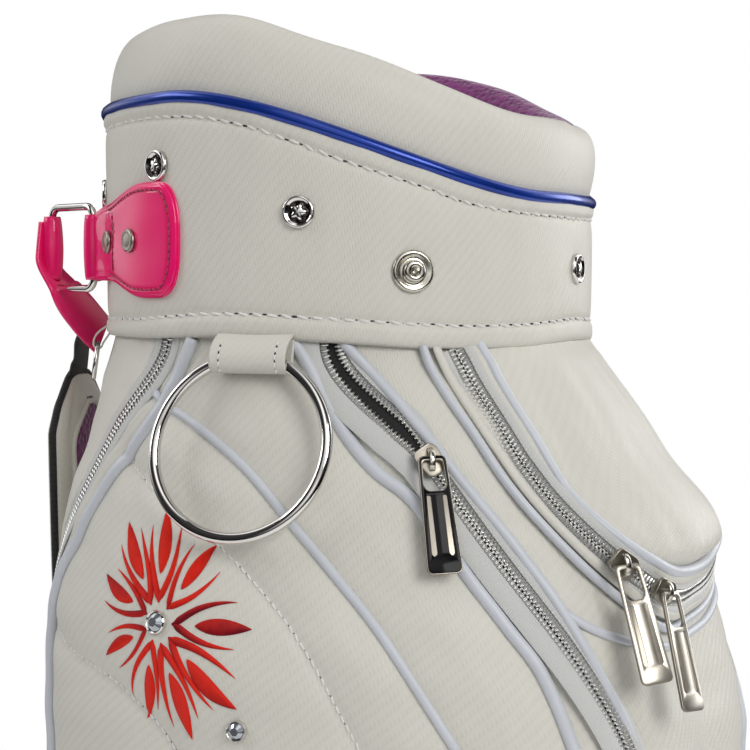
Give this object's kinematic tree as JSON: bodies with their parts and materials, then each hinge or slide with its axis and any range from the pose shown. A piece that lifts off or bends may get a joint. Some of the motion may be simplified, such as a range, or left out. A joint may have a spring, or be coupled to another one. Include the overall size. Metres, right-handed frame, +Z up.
{
  "type": "golf bag",
  "caption": "Golf staff bag with a padded collar, divided club wells, zipped pockets, towel ring and shoulder strap.",
  "frame": {"origin": "centre of the base tray's underside, where the bag stands", "axes": "+Z up along the bag, -Y to the front pockets, -X to the side with the towel ring"},
  "size_m": [0.3022, 0.3571, 0.8755],
  "materials": {
    "leatherette": "cream-white coated leatherette with a fine embossed twill",
    "patent_pink": "glossy patent",
    "blue_piping": "metallic blue",
    "purple_lining": "matte mesh and knit",
    "black_webbing": "woven webbing",
    "black_plastic": "moulded, satin",
    "chrome": "polished",
    "nickel": "polished warm nickel",
    "zip_tape": "light grey tape with nylon teeth",
    "rod_aluminium": "extruded",
    "tube_board": "pressed board"
  },
  "bodies": {
    "root": {"back_panel": "leatherette", "ball_pocket": "leatherette", "ball_pocket_zip": "zip_tape", "base_tray": "black_plastic", "body_tube": "tube_board", "collar_cuff": "leatherette", "collar_rivet_1": "chrome", "collar_rivet_2": "chrome", "collar_rivet_3": "chrome", "collar_rivet_4": "chrome", "collar_rivet_5": "chrome", "collar_rivet_6": "chrome", "collar_rivet_7": "chrome", "divider_frame": "purple_lining", "front_panel": "leatherette", "front_top_pocket": "leatherette", "front_zip_left": "zip_tape", "front_zip_right": "zip_tape", "grab_handle": "leatherette", "long_dividers": "purple_lining", "rim_lining": "purple_lining", "rim_piping": "blue_piping", "rim_roll": "leatherette", "shoulder_pad": "leatherette", "side_pocket_left": "leatherette", "side_pocket_right": "leatherette", "side_zip_left": "zip_tape", "side_zip_right": "zip_tape", "snap_stud_left": "nickel", "snap_stud_right": "nickel", "stay_rod_left": "rod_aluminium", "stay_rod_right": "rod_aluminium", "strap_tab_lower": "patent_pink", "strap_tab_upper": "patent_pink", "strap_web_lower": "black_webbing", "strap_web_upper": "black_webbing", "tab_rivet_1": "nickel", "tab_rivet_2": "nickel", "top_pocket_zip": "zip_tape", "towel_ring_tab": "leatherette"},
    "towel_ring": {"towel_ring": "chrome"},
    "accessory_ring": {"accessory_ring": "chrome"},
    "strap_ring_upper": {"strap_ring_upper": "chrome", "strap_loop_upper": "patent_pink"},
    "strap_ring_lower": {"strap_ring_lower": "chrome", "strap_loop_lower": "patent_pink"},
    "slider_front_left": {"slider_front_left": "nickel"},
    "pull_front_left": {"pull_front_left": "nickel"},
    "slider_front_right": {"slider_front_right": "nickel"},
    "pull_front_right": {"pull_front_right": "nickel"},
    "slider_side_left": {"slider_side_left": "nickel"},
    "pull_side_left": {"pull_side_left": "nickel"},
    "slider_side_right": {"slider_side_right": "nickel"},
    "pull_side_right": {"pull_side_right": "nickel"},
    "slider_top_1": {"slider_top_1": "nickel"},
    "pull_top_1": {"pull_top_1": "nickel"},
    "slider_top_2": {"slider_top_2": "nickel"},
    "pull_top_2": {"pull_top_2": "nickel"},
    "slider_ball": {"slider_ball": "nickel"},
    "pull_ball": {"pull_ball": "nickel"}
  },
  "joints": [
    {"name": "towel_ring_swing", "type": "hinge", "parent": "root", "child": "towel_ring", "pos_m": [-0.11799, -0.01763, 0.7295], "axis": [-0.1478, 0.989, 0], "range_deg": [0, 100]},
    {"name": "accessory_ring_swing", "type": "hinge", "parent": "root", "child": "accessory_ring", "pos_m": [-0.0721, 0.09568, 0.7315], "axis": [0.7986, 0.6018, 0], "range_deg": [0, 100]},
    {"name": "strap_ring_upper_turn", "type": "hinge", "parent": "root", "child": "strap_ring_upper", "pos_m": [-0.07971, 0.0917, 0.776], "axis": [0, 0, 1], "range_deg": [-8, 70]},
    {"name": "strap_ring_lower_turn", "type": "hinge", "parent": "root", "child": "strap_ring_lower", "pos_m": [-0.02546, 0.12318, 0.32199], "axis": [-0.9955, -0.095, 0], "range_deg": [0, 45]},
    {"name": "slider_front_left_run", "type": "slide", "parent": "root", "child": "slider_front_left", "axis": [0.0734, -0.6292, -0.7737], "range_m": [-0.012, 0.08]},
    {"name": "pull_front_left_swing", "type": "hinge", "parent": "slider_front_left", "child": "pull_front_left", "pos_m": [-0.10368, -0.09278, 0.69063], "axis": [-0.6069, 0.794, -0.0355], "range_deg": [0, 95]},
    {"name": "slider_front_right_run", "type": "slide", "parent": "root", "child": "slider_front_right", "axis": [-0.0734, -0.6292, -0.7737], "range_m": [-0.012, 0.08]},
    {"name": "pull_front_right_swing", "type": "hinge", "parent": "slider_front_right", "child": "pull_front_right", "pos_m": [0.10368, -0.09278, 0.69063], "axis": [-0.6069, -0.794, 0.0355], "range_deg": [0, 95]},
    {"name": "slider_side_left_run", "type": "slide", "parent": "root", "child": "slider_side_left", "axis": [-0.0482, -0.1141, -0.9923], "range_m": [-0.05, 0.1]},
    {"name": "pull_side_left_swing", "type": "hinge", "parent": "slider_side_left", "child": "pull_side_left", "pos_m": [-0.12413, 0.08989, 0.43988], "axis": [0.6313, 0.7756, 0], "range_deg": [0, 95]},
    {"name": "slider_side_right_run", "type": "slide", "parent": "root", "child": "slider_side_right", "axis": [0.0482, -0.1141, -0.9923], "range_m": [-0.05, 0.1]},
    {"name": "pull_side_right_swing", "type": "hinge", "parent": "slider_side_right", "child": "pull_side_right", "pos_m": [0.12413, 0.08989, 0.43988], "axis": [0.6313, -0.7756, 0], "range_deg": [0, 95]},
    {"name": "slider_top_1_run", "type": "slide", "parent": "root", "child": "slider_top_1", "axis": [-0.469, 0.6161, 0.6328], "range_m": [-0.004, 0.002]},
    {"name": "pull_top_1_swing", "type": "hinge", "parent": "slider_top_1", "child": "pull_top_1", "pos_m": [-0.06843, -0.16219, 0.64739], "axis": [-0.768, 0.6368, -0.0684], "range_deg": [0, 95]},
    {"name": "slider_top_2_run", "type": "slide", "parent": "root", "child": "slider_top_2", "axis": [-0.8111, 0.3322, 0.4815], "range_m": [-0.005, 0.005]},
    {"name": "pull_top_2_swing", "type": "hinge", "parent": "slider_top_2", "child": "pull_top_2", "pos_m": [-0.05192, -0.17469, 0.6346], "axis": [-0.9323, 0.342, 0.1176], "range_deg": [0, 95]},
    {"name": "slider_ball_run", "type": "slide", "parent": "root", "child": "slider_ball", "axis": [0, 0, -1], "range_m": [-0.045, 0.04]},
    {"name": "pull_ball_swing", "type": "hinge", "parent": "slider_ball", "child": "pull_ball", "pos_m": [-0.0694, -0.1872, 0.365], "axis": [0, 1, 0], "range_deg": [0, 95]}
  ]
}
